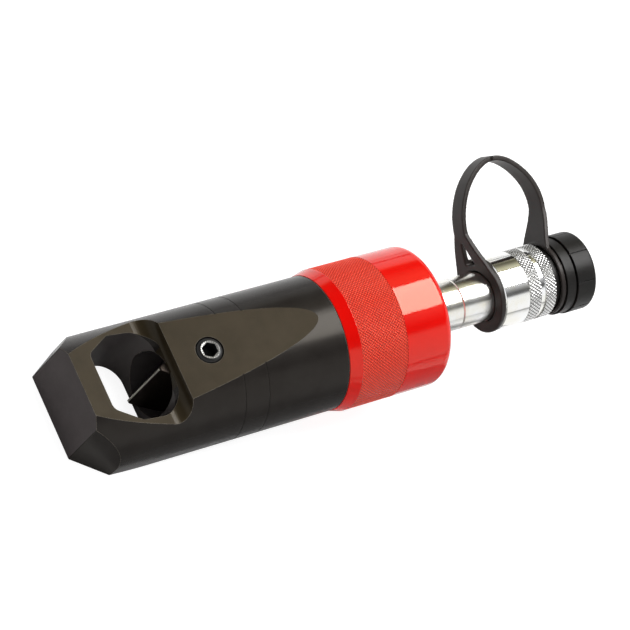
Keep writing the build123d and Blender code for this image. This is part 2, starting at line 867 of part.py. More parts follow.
def arch_edge(shift):
    """Points of the arch's middle line in its plane, moved sideways by a shift."""
    middle = [(ring_middle + lean, share * arch_height) for lean, share in front_leg_shape]
    middle.append((arch_middle, arch_height))
    middle += [(eye_middle + lean, share * arch_height) for lean, share in rear_leg_shape]
    edge = []
    for index, point in enumerate(middle):
        before = Vector(*middle[max(index - 1, 0)])
        after = Vector(*middle[min(index + 1, len(middle) - 1)])
        along = (after - before).normalized()
        edge.append(Vector(*point) + Vector(-along.Y, along.X) * shift)
    return edge


def tangent_point(half_width, height, radius):
    """Where a line from (half_width, height) touches a circle of this radius about the axis."""
    reach = sqrt(half_width**2 + height**2)
    angle = asin(height / reach) - acos(radius / reach)
    return radius * cos(angle), radius * sin(angle)


def leg(side, half_width, taper_height, foot_width, foot_height):
    """One half of the arch, cut to the leg's outline as seen along the axis."""
    leg_view = Plane(
        origin=axis_start + axis_direction * arch_middle,
        x_dir=arch_plane.z_dir * -side,
        z_dir=axis_direction * side,
    )
    with BuildPart() as band:
        with BuildSketch(arch_plane):
            with BuildLine():
                outer_edge = Spline(*arch_edge(strap_thickness / 2))
                inner_edge = Spline(*arch_edge(-strap_thickness / 2))
                Line(outer_edge @ 0, inner_edge @ 0)
                Line(outer_edge @ 1, inner_edge @ 1)
            make_face()
        extrude(amount=strap_ring_radius, both=True)
        with BuildSketch(leg_view):
            with BuildLine():
                Polyline(
                    (-foot_width, foot_height),
                    (-half_width, taper_height),
                    (-half_width, arch_height + margin),
                    (half_width, arch_height + margin),
                    (half_width, taper_height),
                    (foot_width, foot_height),
                    (foot_width, 0),
                    (-foot_width, 0),
                    close=True,
                )
            make_face()
        extrude(amount=arch_middle, mode=Mode.INTERSECT)
    return band.part


fork_foot = tangent_point(strap_width / 2, fork_top, strap_ring_radius)
front_leg = leg(-1, strap_width / 2, fork_top, *fork_foot)
cap_foot_height = sqrt(cap_flange_radius**2 - cap_foot_half_width**2)
rear_leg = leg(1, strap_cap_width / 2, cap_taper_top, cap_foot_half_width, cap_foot_height)
with BuildPart() as dust_strap:
    with BuildSketch(cross_plane(ring_start)) as strap_ring:
        Circle(strap_ring_radius)
    extrude(amount=strap_thickness)
    with BuildSketch(cross_plane(eye_start)) as strap_eye:
        Circle(strap_eye_radius)
    extrude(amount=strap_thickness)
    add(front_leg)
    add(rear_leg)
    with BuildSketch(cross_plane(ring_start - margin)) as neck_hole:
        Circle(neck_radius + running_gap)
    extrude(amount=2 * margin, mode=Mode.SUBTRACT)
    with BuildSketch(cross_plane(ring_end)) as sleeve_clearance:
        Circle(sleeve_radius + running_gap)
    extrude(amount=sleeve_end - ring_end, mode=Mode.SUBTRACT)
    with BuildSketch(cross_plane(sleeve_end)) as eye_hole:
        Circle(cap_neck_radius + running_gap)
    extrude(amount=eye_end - sleeve_end, mode=Mode.SUBTRACT)
    with BuildSketch(cross_plane(eye_end)) as cap_clearance:
        Circle(cap_flange_radius + strap_end_gap)
    extrude(amount=cap_end - eye_end, mode=Mode.SUBTRACT)
    fork_view = Plane(
        origin=axis_start + axis_direction * arch_middle,
        x_dir=arch_plane.z_dir,
        z_dir=-axis_direction,
    )
    slot_foot = neck_radius + running_gap + fork_slot_foot
    with BuildSketch(fork_view) as fork_slot:
        with BuildLine():
            Polyline(
                (-fork_slot_width / 2, slot_foot),
                (0, fork_slot_top),
                (fork_slot_width / 2, slot_foot),
                close=True,
            )
        make_face()
        fillet(fork_slot.vertices(), radius=fork_slot_corner)
    extrude(amount=arch_middle, mode=Mode.SUBTRACT)
finish(dust_strap.part, "dust_strap")
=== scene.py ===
import json
from math import cos, pi, radians, sin, tau

import bmesh
import bpy
from mathutils import Matrix, Vector


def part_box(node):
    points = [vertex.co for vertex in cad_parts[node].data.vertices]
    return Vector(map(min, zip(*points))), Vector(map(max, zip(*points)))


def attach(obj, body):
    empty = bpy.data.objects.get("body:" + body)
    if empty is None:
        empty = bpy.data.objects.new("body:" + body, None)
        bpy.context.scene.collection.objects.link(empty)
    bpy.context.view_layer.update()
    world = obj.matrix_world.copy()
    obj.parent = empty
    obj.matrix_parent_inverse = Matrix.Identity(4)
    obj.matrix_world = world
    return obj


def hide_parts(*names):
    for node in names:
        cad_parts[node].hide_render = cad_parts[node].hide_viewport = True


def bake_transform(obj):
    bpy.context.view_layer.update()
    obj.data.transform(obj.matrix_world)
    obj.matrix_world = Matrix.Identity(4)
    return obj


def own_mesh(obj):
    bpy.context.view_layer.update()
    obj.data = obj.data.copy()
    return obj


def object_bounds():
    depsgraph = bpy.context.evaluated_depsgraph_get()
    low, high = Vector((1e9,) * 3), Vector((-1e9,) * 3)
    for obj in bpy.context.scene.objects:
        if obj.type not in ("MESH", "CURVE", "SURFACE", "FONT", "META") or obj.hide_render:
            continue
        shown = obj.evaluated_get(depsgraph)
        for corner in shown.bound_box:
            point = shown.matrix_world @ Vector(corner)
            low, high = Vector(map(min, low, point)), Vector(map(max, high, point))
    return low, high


# Hydraulic nut splitter. All lengths are in metres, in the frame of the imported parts:
# +Z along the nut's axis, -X towards the nose, the cylinder axis rising towards +X.
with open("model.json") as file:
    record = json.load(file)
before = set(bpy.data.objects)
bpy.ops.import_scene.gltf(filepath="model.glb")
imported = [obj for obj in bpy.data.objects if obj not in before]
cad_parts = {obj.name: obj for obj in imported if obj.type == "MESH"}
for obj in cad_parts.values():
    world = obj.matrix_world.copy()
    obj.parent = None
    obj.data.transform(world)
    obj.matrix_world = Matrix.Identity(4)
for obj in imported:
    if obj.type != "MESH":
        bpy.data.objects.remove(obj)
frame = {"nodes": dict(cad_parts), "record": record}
cad_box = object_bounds()
MM = 0.001


def mount(name):
    """Place and axis of one of the record's mounts."""
    for entry in frame["record"]["mounts"]:
        if entry["name"] == name:
            return Vector(entry["pos_m"]), Vector(entry["axis"])


# The cylinder axis, from the coupler's mount, with the sleeve's end as the known station
SLEEVE_END = 256.6 * MM
socket_place, AXIS = mount("coupler_socket")
AXIS.normalize()
AXIS_START = socket_place - AXIS * SLEEVE_END
SIDE = Vector((0, 1, 0))
NORMAL = AXIS.cross(SIDE)
TO_TOOL = Matrix((AXIS, SIDE, NORMAL))


def tool_point(station, radius, angle):
    """A point at a station along the cylinder axis; angle 0 is +Y, a quarter turn is up."""
    return AXIS_START + AXIS * station + (SIDE * cos(angle) + NORMAL * sin(angle)) * radius


# Camera, at the photograph's viewpoint
CAMERA_PLACE = (-0.65661, -0.34899, 0.81173)
CAMERA_RIGHT = (0.73673, -0.41601, 0.53307)
CAMERA_UP = (0.11352, 0.85326, 0.50899)
CAMERA_BACK = (-0.66659, -0.31447, 0.67585)
CAMERA_LENS = 145.148
CAMERA_SENSOR = 36.0


def make_camera():
    data = bpy.data.cameras.new("camera")
    data.lens = CAMERA_LENS
    data.sensor_width = CAMERA_SENSOR
    data.clip_start = 0.01
    camera = bpy.data.objects.new("camera", data)
    turn = Matrix((CAMERA_RIGHT, CAMERA_UP, CAMERA_BACK)).transposed().to_4x4()
    camera.matrix_world = Matrix.Translation(CAMERA_PLACE) @ turn
    bpy.context.scene.collection.objects.link(camera)
    bpy.context.scene.camera = camera


# Light: a white room with a large soft lamp overhead, behind the tool, and three fills
TARGET = (0.08, 0.0, 0.03)
OVERHEAD_PLACE = (0.38, 0.075, 0.95)
OVERHEAD_SIZE = (0.64, 0.64)
# Place, size and power in watts
LAMPS = {
    "overhead": (OVERHEAD_PLACE, OVERHEAD_SIZE, 9.4),
    "front_fill": ((-0.75, -0.55, 0.55), (0.5, 0.7), 1.6),
    "side_fill": ((0.25, -0.95, 0.35), (0.9, 0.4), 1.0),
    "back_fill": ((0.25, 0.85, 0.75), (0.7, 0.5), 2.2),
}
SOFTBOX_GLOW = 10.5
SOFTBOX_RIM = 0.03
SOFTBOX_RIM_GLOW = 0.02
# Low corner, high corner and tone of the sheets on the floor that only reflections show
FLOOR_CARDS = {
    "near_card": ((-0.12, -0.30), (0.26, -0.036), 0.32),
    "far_card": ((-0.60, 0.06), (1.60, 1.60), 1.15),
}
CARD_LIFT = 0.5 * MM

# The room that reflections see, by height (along CEILING) and by direction
WHITE = (1.0, 1.0, 1.0, 1.0)
WORLD_DIFFUSE = 0.27
CEILING = Vector((0.0, 0.18, 0.98)).normalized()
CEILING_TONES = (
    (0.0, 1.0), (0.40, 0.98), (0.50, 0.88), (0.535, 0.5),
    (0.575, 0.15), (0.66, 0.11), (0.74, 0.3), (0.84, 0.62),
)
# Warm ceiling on the far side
WARM_TINT = (1.0, 0.95, 0.66, 1.0)
WARM_HEIGHT = (0.48, 0.56)
WARM_SIDE = (0.1, 0.45)
# Dark patch high up in front
FRONT_TONE = (0.06, 0.06, 0.055, 1.0)
FRONT_HEIGHT = (0.6, 0.7)
FRONT_FORWARD = (0.2, -0.05)
# Thin dark line low on the far side
LINE_TONE = (0.10, 0.10, 0.10, 1.0)
LINE_HEIGHT = 0.267
LINE_REACH = (0.03, 0.015)
LINE_SIDE = (0.3, 0.5)

# The floor is plain paper for light, and close to white for the camera
FLOOR_SIZE = 6.0
FLOOR_SEGMENTS = 8
PAPER_TONE = 0.8
SEEN_TONE = 0.33
SEEN_GLOW = 0.89


def grey(tone):
    return (tone, tone, tone, 1.0)


def aim(place, target):
    """A lamp's matrix at a place, facing a target."""
    back = (Vector(place) - Vector(target)).normalized()
    return Matrix.Translation(place) @ back.to_track_quat("Z", "Y").to_matrix().to_4x4()


def area_lamp(name, place, size, power):
    """A rectangular lamp for plain light, which reflections don't show."""
    data = bpy.data.lights.new(name, "AREA")
    data.shape = "RECTANGLE"
    data.size, data.size_y = size
    data.energy = power
    lamp = bpy.data.objects.new(name, data)
    lamp.visible_glossy = False
    lamp.matrix_world = aim(place, TARGET)
    bpy.context.scene.collection.objects.link(lamp)
    return lamp


class Tree:
    """Short names for building a node tree."""

    # The part of a noise's range that most of the surface takes
    NOISE_RANGE = (0.3, 0.7)

    def __init__(self, tree):
        self.tree = tree

    def add(self, kind, inputs=None, **settings):
        node = self.tree.nodes.new(kind)
        for key, value in settings.items():
            setattr(node, key, value)
        for key, value in (inputs or {}).items():
            self.put(node, key, value)
        return node

    def put(self, node, key, value):
        socket = node.inputs[key]
        if isinstance(value, bpy.types.NodeSocket):
            self.tree.links.new(value, socket)
        elif isinstance(value, bpy.types.Node):
            self.tree.links.new(value.outputs[0], socket)
        else:
            socket.default_value = value

    def place(self):
        """The surface's place in the object, in metres."""
        return self.add("ShaderNodeTexCoord").outputs["Object"]

    def crest(self):
        """The value that a piece keeps at its vertices."""
        return self.add("ShaderNodeAttribute", attribute_name="crest").outputs["Fac"]

    def maths(self, operation, first, second=0.0, third=0.0):
        node = self.add("ShaderNodeMath", {0: first, 1: second, 2: third}, operation=operation)
        return node.outputs[0]

    def product(self, first, *others):
        for other in others:
            first = self.maths("MULTIPLY", first, other)
        return first

    def dot(self, vector, direction):
        inputs = {0: vector, 1: direction}
        return self.add("ShaderNodeVectorMath", inputs, operation="DOT_PRODUCT").outputs["Value"]

    def ramp(self, value, tones):
        """Grey steps along a value."""
        node = self.add("ShaderNodeValToRGB", {0: value})
        stops = node.color_ramp.elements
        while len(stops) < len(tones):
            stops.new(0.5)
        for stop, (place, tone) in zip(stops, tones):
            stop.position = place
            stop.color = grey(tone)
        return node.outputs[0]

    def blend(self, factor, first, second):
        """Colour mix by a factor."""
        node = self.add("ShaderNodeMix", data_type="RGBA")
        self.put(node, 0, factor)
        self.put(node, 6, first)
        self.put(node, 7, second)
        return node.outputs[2]

    def remap(self, value, low, high, new_low=0.0, new_high=1.0):
        node = self.add("ShaderNodeMapRange")
        for index, number in enumerate((value, low, high, new_low, new_high)):
            self.put(node, index, number)
        return node.outputs[0]

    def noise(self, vector, scale, detail=3.0, roughness=0.55):
        inputs = {"Vector": vector, "Scale": scale, "Detail": detail, "Roughness": roughness}
        return self.add("ShaderNodeTexNoise", inputs).outputs[0]

    def mottle(self, place, scale, low=0.0, high=1.0):
        """A value that drifts from low to high in patches."""
        return self.remap(self.noise(place, scale), *self.NOISE_RANGE, low, high)

    def bump(self, height, strength, distance, normal=None):
        inputs = {"Height": height, "Strength": strength, "Distance": distance}
        node = self.add("ShaderNodeBump", inputs)
        if normal is not None:
            self.put(node, "Normal", normal)
        return node.outputs[0]


def make_world():
    """White for the camera; reflections see white walls and a dim ceiling."""
    world = bpy.data.worlds.new("room")
    bpy.context.scene.world = world
    world.use_nodes = True
    tree = Tree(world.node_tree)
    world.node_tree.nodes.clear()
    direction = tree.add("ShaderNodeTexCoord").outputs["Generated"]
    forward, side, _ = tree.add("ShaderNodeSeparateXYZ", {0: direction}).outputs
    height = tree.dot(direction, CEILING)
    warm = tree.add("ShaderNodeMix", data_type="RGBA", blend_type="MULTIPLY")
    tree.put(warm, 0, tree.product(tree.remap(height, *WARM_HEIGHT), tree.remap(side, *WARM_SIDE)))
    tree.put(warm, 6, tree.ramp(height, CEILING_TONES))
    tree.put(warm, 7, WARM_TINT)
    front = tree.product(tree.remap(height, *FRONT_HEIGHT), tree.remap(forward, *FRONT_FORWARD))
    room = tree.blend(front, warm.outputs[2], FRONT_TONE)
    off_line = tree.maths("ABSOLUTE", tree.maths("SUBTRACT", height, LINE_HEIGHT))
    line = tree.product(tree.remap(off_line, *LINE_REACH), tree.remap(side, *LINE_SIDE))
    room = tree.blend(line, room, LINE_TONE)
    rays = tree.add("ShaderNodeLightPath")
    colour = tree.blend(rays.outputs["Is Glossy Ray"], grey(WORLD_DIFFUSE), room)
    colour = tree.blend(rays.outputs["Is Transmission Ray"], colour, WHITE)
    colour = tree.blend(rays.outputs["Is Camera Ray"], colour, WHITE)
    background = tree.add("ShaderNodeBackground", {"Color": colour})
    tree.add("ShaderNodeOutputWorld", {"Surface": background})


def make_lights():
    lamps = {name: area_lamp(name, *settings) for name, settings in LAMPS.items()}
    make_softbox(lamps["overhead"].matrix_world)
    for name, settings in FLOOR_CARDS.items():
        floor_card(name, *settings)


def mirror_card(name, corners, faces, tones, matrix=None):
    """A glowing card that only reflections show."""
    bm = bmesh.new()
    verts = [bm.verts.new(corner) for corner in corners]
    for index, face in enumerate(faces):
        bm.faces.new([verts[i] for i in face]).material_index = min(index, len(tones) - 1)
    mesh = bpy.data.meshes.new(name)
    bm.to_mesh(mesh)
    bm.free()
    card = bpy.data.objects.new(name, mesh)
    if matrix is not None:
        card.matrix_world = matrix
    bpy.context.scene.collection.objects.link(card)
    for index, tone in enumerate(tones):
        material, tree = new_material(f"{name}_{index}")
        glow = tree.add("ShaderNodeEmission", {"Color": WHITE, "Strength": tone})
        tree.add("ShaderNodeOutputMaterial", {"Surface": glow})
        mesh.materials.append(material)
    card.visible_camera = False
    card.visible_diffuse = False
    card.visible_transmission = False
    card.visible_shadow = False


def make_softbox(matrix):
    """The overhead lamp's bright face with its dark rim."""
    half = [size / 2 for size in OVERHEAD_SIZE]
    corners = []
    for grow in (0.0, SOFTBOX_RIM):
        for sx, sy in ((-1, -1), (1, -1), (1, 1), (-1, 1)):
            corners.append((sx * (half[0] + grow), sy * (half[1] + grow), 0))
    faces = [(0, 1, 2, 3)] + [(i, (i + 1) % 4, (i + 1) % 4 + 4, i + 4) for i in range(4)]
    mirror_card("softbox", corners, faces, (SOFTBOX_GLOW, SOFTBOX_RIM_GLOW), matrix)


def floor_card(name, low, high, tone):
    """A sheet on the floor, darker or brighter than it, for reflections."""
    level = cad_box[0][2] + CARD_LIFT
    outline = ((low[0], low[1]), (high[0], low[1]), (high[0], high[1]), (low[0], high[1]))
    mirror_card(name, [(x, y, level) for x, y in outline], [(0, 1, 2, 3)], (tone,))


def make_floor():
    bm = bmesh.new()
    bmesh.ops.create_grid(
        bm, x_segments=FLOOR_SEGMENTS, y_segments=FLOOR_SEGMENTS, size=FLOOR_SIZE / 2
    )
    mesh = bpy.data.meshes.new("floor")
    bm.to_mesh(mesh)
    bm.free()
    floor = bpy.data.objects.new("floor", mesh)
    floor.location = (TARGET[0], 0, cad_box[0][2])
    bpy.context.scene.collection.objects.link(floor)
    material, tree = new_material("floor")
    paper = tree.add("ShaderNodeBsdfDiffuse", {"Color": grey(PAPER_TONE)})
    thin = tree.add("ShaderNodeBsdfDiffuse", {"Color": grey(SEEN_TONE)})
    white = tree.add("ShaderNodeEmission", {"Color": WHITE, "Strength": SEEN_GLOW})
    glow = tree.add("ShaderNodeAddShader", {0: thin, 1: white})
    rays = tree.add("ShaderNodeLightPath")
    shown = tree.add("ShaderNodeMixShader", {0: rays.outputs["Is Camera Ray"], 1: paper, 2: glow})
    tree.add("ShaderNodeOutputMaterial", {"Surface": shown})
    floor.data.materials.append(material)


# Colours, linear. A pair is the two ends of what noise mixes.
OXIDE = ((0.0140, 0.0118, 0.0108, 1), (0.0180, 0.0158, 0.0145, 1))
MILLED = ((0.023, 0.017, 0.009, 1), (0.0315, 0.0235, 0.013, 1))
GROUND_FRONT = ((0.054, 0.046, 0.047, 1), (0.066, 0.057, 0.058, 1))
WINDOW_WALL = (0.074, 0.066, 0.065, 1)
WORN_EDGE = (0.19, 0.17, 0.14, 1)
OXIDE_TINT = (1.0, 0.93, 0.82, 1.0)
ENAMEL = ((0.70, 0.0014, 0.0007, 1), (0.76, 0.0022, 0.0012, 1))
ENAMEL_TINT = (1.0, 0.72, 0.48, 1.0)
# Red knurl tones: painted shade in the grooves and painted glints on the points
RED_GROOVE_SHADE, RED_POINT_GLINT = (0.34, 0.001, 0.0005, 1), (0.95, 0.065, 0.032, 1)
# Plated knurl tones: grooves darkened as painted shade, and bright plated points
PLATED_GROOVE_SHADE, PLATED_POINT = (0.03, 0.029, 0.026, 1), (0.97, 0.97, 0.96, 1)
SCREW_OXIDE = ((0.010, 0.010, 0.010, 1), (0.020, 0.019, 0.018, 1))
# Painted highlight on the screw's socket rim, and painted shade inside the socket
SCREW_RIM_HIGHLIGHT = (0.50, 0.49, 0.46, 1)
SCREW_SHADE = (0.002, 0.002, 0.002, 1)
# Painted shade along the edges of plated parts
PLATED_EDGE_SHADE = (0.07, 0.065, 0.06, 1)
HARDENED = ((0.020, 0.015, 0.012, 1), (0.045, 0.035, 0.028, 1))
GROUND_EDGE = (0.62, 0.60, 0.52, 1)
METAL_EDGE = (0.4, 0.4, 0.38, 1)

# Materials by table. Plating: two tones, roughness range, lathe marks' pitch and strength
PLATINGS = {
    "plated_steel": ((0.84, 0.81, 0.72, 1), (0.88, 0.88, 0.87, 1), 0.14, 0.24, 0.22 * MM, 0.35),
    "plated_sleeve": ((0.90, 0.89, 0.83, 1), (0.94, 0.95, 0.96, 1), 0.06, 0.12, 0.30 * MM, 0.15),
}
# Rubber: clean and dusty tone. The strap's tones are set lighter than the cap's, as painted light
# on the strap.
RUBBERS = {
    "black_rubber": ((0.006, 0.0055, 0.005, 1), (0.011, 0.010, 0.009, 1)),
    # Lighter than the black rubber, as painted light on the strap
    "strap_rubber": ((0.020, 0.0165, 0.015, 1), (0.030, 0.025, 0.0225, 1)),
}
# Plain metals and plastics: two tones and the roughness range
METALS = {
    "screw_steel": ((0.03, 0.03, 0.032, 1), (0.06, 0.058, 0.055, 1), 0.28, 0.4),
    "plain_steel": ((0.50, 0.50, 0.50, 1), (0.58, 0.57, 0.56, 1), 0.2, 0.32),
    "hard_chrome": ((0.74, 0.74, 0.75, 1), (0.78, 0.78, 0.78, 1), 0.05, 0.1),
    "spring_steel": ((0.16, 0.15, 0.14, 1), (0.26, 0.25, 0.23, 1), 0.25, 0.4),
}
PLASTICS = {
    "seal_rubber": ((0.012, 0.012, 0.012, 1), (0.022, 0.021, 0.02, 1), 0.35, 0.5),
    "wear_plastic": ((0.08, 0.07, 0.06, 1), (0.12, 0.10, 0.085, 1), 0.4, 0.55),
}

# Where the head was cut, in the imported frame
RAMP_TILT = radians(19.2)
RAMP_UP = Vector((-sin(RAMP_TILT), 0.0, cos(RAMP_TILT)))
SQUARE_ON = (0.9985, 0.9999)
UPRIGHT = (0.02, 0.01)
PAD_LEVEL = 28.7 * MM
STEP_END = 20.2 * MM
FRONT_LIMIT = -24.8 * MM
WINDOW_FRONT, WINDOW_REAR = -14.8 * MM, 44.2 * MM
WINDOW_HALF_WIDTH = 20.65 * MM
INWARD = (3 * MM, 2 * MM)
MASK_EDGE = 0.1 * MM
# No worn edge is drawn within reach of the two fine lines round the head
RING_LINES = (78.2 * MM, 90.1 * MM)
RING_REACH = (0.4 * MM, 0.6 * MM)

BEVEL_SAMPLES = 6
EDGE_TURN = (0.993, 0.95)
LATHE_DRIFT = 0.15
METAL_PITCH = 0.25 * MM
# Extra roughness of the milled flats and of the front over the turned sides
FLAT_ROUGHER = 0.36
# The chisel's ground edge fades between these distances from its tip
GROUND_REACH = (0.5 * MM, 0.25 * MM)


def new_material(name):
    material = bpy.data.materials.new(name)
    material.use_nodes = True
    material.node_tree.nodes.clear()
    return material, Tree(material.node_tree)


def shader(tree, **inputs):
    """A principled shader joined to the output."""
    names = {key.replace("_", " "): value for key, value in inputs.items()}
    node = tree.add("ShaderNodeBsdfPrincipled", names)
    tree.add("ShaderNodeOutputMaterial", {"Surface": node})
    return node


def soft_normal(tree, radius):
    """Normal of softened edges."""
    return tree.add("ShaderNodeBevel", {"Radius": radius}, samples=BEVEL_SAMPLES).outputs[0]


def near_edge(tree, normal):
    """How near an edge the surface is, by how far the softening turns its normal."""
    flat = tree.add("ShaderNodeNewGeometry").outputs["Normal"]
    return tree.remap(tree.dot(normal, flat), *EDGE_TURN)


def tool_station(tree, place):
    """Station along the cylinder axis, in metres."""
    inputs = {0: place, 1: AXIS_START}
    return tree.dot(tree.add("ShaderNodeVectorMath", inputs, operation="SUBTRACT"), AXIS)


def turning_marks(tree, place, pitch):
    """Fine rings round the cylinder axis, as a lathe leaves them."""
    drift = tree.noise(place, scale=300.0, detail=2.0)
    phase = tree.maths("MULTIPLY", tool_station(tree, place), tau / pitch)
    return tree.maths("SINE", tree.maths("MULTIPLY_ADD", drift, LATHE_DRIFT * tau, phase))


def head_masks(tree, place):
    """The head's milled flats, step, front face and window walls, each as 0 to 1."""
    facing = tree.add("ShaderNodeNewGeometry").outputs["Normal"]
    x, y, z = tree.add("ShaderNodeSeparateXYZ", {0: place}).outputs
    normal_x, normal_y, normal_z = tree.add("ShaderNodeSeparateXYZ", {0: facing}).outputs
    ramp = tree.dot(facing, RAMP_UP)
    flat = tree.maths("MAXIMUM", tree.remap(normal_z, *SQUARE_ON), tree.remap(ramp, *SQUARE_ON))
    step = tree.product(
        tree.remap(tree.maths("ABSOLUTE", normal_y), *UPRIGHT),
        tree.remap(z, PAD_LEVEL, PAD_LEVEL + MASK_EDGE),
        tree.remap(x, STEP_END + MASK_EDGE, STEP_END),
    )
    front = tree.product(
        tree.remap(normal_x, -SQUARE_ON[0], -SQUARE_ON[1]),
        tree.remap(x, FRONT_LIMIT, FRONT_LIMIT - MASK_EDGE),
    )
    window = tree.product(
        tree.remap(z, PAD_LEVEL + MASK_EDGE / 2, PAD_LEVEL),
        tree.remap(x, WINDOW_FRONT - MASK_EDGE, WINDOW_FRONT),
        tree.remap(x, WINDOW_REAR + MASK_EDGE, WINDOW_REAR),
        tree.remap(tree.maths("ABSOLUTE", y), WINDOW_HALF_WIDTH + MASK_EDGE, WINDOW_HALF_WIDTH),
        tree.remap(tree.maths("MULTIPLY", y, normal_y), *INWARD),
    )
    return flat, step, front, window


def blackened_steel():
    """Blackened steel: satin on the turned sides, olive and duller where it was milled."""
    material, tree = new_material("blackened_steel")
    place = tree.place()
    normal = soft_normal(tree, 0.4 * MM)
    flat, step, front, window = head_masks(tree, place)
    clouds = tree.remap(tree.noise(place, scale=70.0, detail=4.0, roughness=0.6), 0.32, 0.68)
    cut = tree.maths("MAXIMUM", flat, step)
    colour = tree.blend(cut, tree.blend(clouds, *OXIDE), tree.blend(clouds, *MILLED))
    colour = tree.blend(window, colour, WINDOW_WALL)
    colour = tree.blend(front, colour, tree.blend(clouds, *GROUND_FRONT))
    edge = near_edge(tree, normal)
    station = tool_station(tree, place)
    for line in RING_LINES:
        away = tree.maths("ABSOLUTE", tree.maths("SUBTRACT", station, line))
        edge = tree.product(edge, tree.remap(away, *RING_REACH))
    worn = tree.product(edge, tree.mottle(place, 400.0, 0.3, 0.9))
    colour = tree.blend(worn, colour, WORN_EDGE)
    satin = tree.mottle(place, 160.0, 0.21, 0.26)
    rough = tree.maths("MULTIPLY_ADD", tree.maths("MAXIMUM", flat, front), FLAT_ROUGHER, satin)
    grain = tree.noise(place, scale=2600.0, detail=2.0)
    bumped = tree.bump(grain, strength=0.10, distance=0.00003, normal=normal)
    node = shader(tree, Base_Color=colour, Roughness=rough, Normal=bumped)
    node.inputs["Specular IOR Level"].default_value = 0.17
    node.inputs["Specular Tint"].default_value = OXIDE_TINT
    return material


def gloss_paint(tree, colour, normal=None, rough=0.09):
    """Red enamel: a warm gloss under a thin clear one."""
    node = shader(tree, Base_Color=colour, Roughness=rough)
    node.inputs["Specular Tint"].default_value = ENAMEL_TINT
    node.inputs["Coat Weight"].default_value = 0.25
    node.inputs["Coat Roughness"].default_value = 0.06
    if normal is not None:
        tree.put(node, "Normal", normal)
        tree.put(node, "Coat Normal", normal)


def red_paint():
    material, tree = new_material("red_paint")
    place = tree.place()
    peel = tree.noise(place, scale=900.0, detail=2.0)
    bumped = tree.bump(peel, strength=0.25, distance=0.00006, normal=soft_normal(tree, 0.3 * MM))
    gloss_paint(tree, tree.blend(tree.mottle(place, 60.0), *ENAMEL), bumped)
    return material


def red_knurl():
    """Red enamel on knurling, with painted glints on the points and painted shade in the grooves.
    """
    material, tree = new_material("red_knurl")
    # Painted shade in the grooves and painted glints on the points, by crest height
    colour = tree.blend(tree.remap(tree.crest(), 0.2, 0.75), RED_GROOVE_SHADE, RED_POINT_GLINT)
    gloss_paint(tree, colour, rough=0.42)
    return material


def plated_knurl():
    """Plated knurling: bright plated points, and grooves darkened as painted shade."""
    material, tree = new_material("plated_knurl")
    # The grooves lose their metal and go dark, as painted shade
    point = tree.remap(tree.crest(), 0.25, 0.5)
    colour = tree.blend(point, PLATED_GROOVE_SHADE, PLATED_POINT)
    shader(tree, Base_Color=colour, Roughness=0.26, Metallic=point)
    return material


def screw_black():
    """Black oxide screw, with a painted highlight on the rim round its socket and painted shade
    inside the socket.
    """
    material, tree = new_material("screw_black")
    crest = tree.crest()
    colour = tree.blend(tree.mottle(tree.place(), 700.0), *SCREW_OXIDE)
    # Painted highlight on the rim, painted shade in the socket
    colour = tree.blend(tree.remap(crest, 0.0, 1.0), colour, SCREW_RIM_HIGHLIGHT)
    colour = tree.blend(tree.remap(crest, 0.0, -1.0), colour, SCREW_SHADE)
    rough = tree.remap(crest, -1.0, 0.0, 1.0, 0.3)
    bright = tree.remap(crest, 0.0, 1.0, 0.0, 0.7)
    node = shader(tree, Base_Color=colour, Roughness=rough, Metallic=bright)
    node.inputs["Specular IOR Level"].default_value = 0.3
    return material


def plated(name, dark, light, low, high, pitch, strength):
    """Bright plated steel with lathe marks and a faint warm tint in patches."""
    material, tree = new_material(name)
    place = tree.place()
    normal = soft_normal(tree, 0.2 * MM)
    tint = tree.remap(tree.noise(place, scale=110.0), 0.38, 0.66)
    # Edges are darkened as painted shade
    edge = tree.product(near_edge(tree, normal), 0.85)
    colour = tree.blend(edge, tree.blend(tint, light, dark), PLATED_EDGE_SHADE)
    rough = tree.mottle(place, 240.0, low, high)
    marks = turning_marks(tree, place, pitch)
    bumped = tree.bump(marks, strength, distance=0.000012, normal=normal)
    shader(tree, Base_Color=colour, Roughness=rough, Metallic=1.0, Normal=bumped)
    return material


def rubber(name, dark, dusty):
    """Moulded black rubber with a fine grain and a trace of dust."""
    material, tree = new_material(name)
    place = tree.place()
    dust = tree.remap(tree.noise(place, scale=55.0, detail=4.0), 0.35, 0.75)
    colour = tree.blend(dust, dark, dusty)
    rough = tree.mottle(place, 130.0, 0.36, 0.44)
    grain = tree.noise(place, scale=1800.0)
    bumped = tree.bump(grain, strength=0.18, distance=0.00006, normal=soft_normal(tree, 0.35 * MM))
    node = shader(tree, Base_Color=colour, Roughness=rough, Normal=bumped)
    node.inputs["Specular IOR Level"].default_value = 0.2
    return material


def tool_steel():
    """Dark hardened steel, ground bright along the chisel's edge."""
    material, tree = new_material("tool_steel")
    place = tree.place()
    along = tree.add("ShaderNodeSeparateXYZ", {0: place}).outputs[0]
    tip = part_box("chisel")[0][0]
    ground = tree.remap(along, tip + GROUND_REACH[0], tip + GROUND_REACH[1])
    marks = tree.noise(place, scale=500.0)
    colour = tree.blend(ground, tree.blend(marks, *HARDENED), GROUND_EDGE)
    rough = tree.remap(marks, *Tree.NOISE_RANGE, 0.3, 0.42)
    normal = soft_normal(tree, 0.25 * MM)
    shader(tree, Base_Color=colour, Roughness=rough, Metallic=0.85, Normal=normal)
    return material


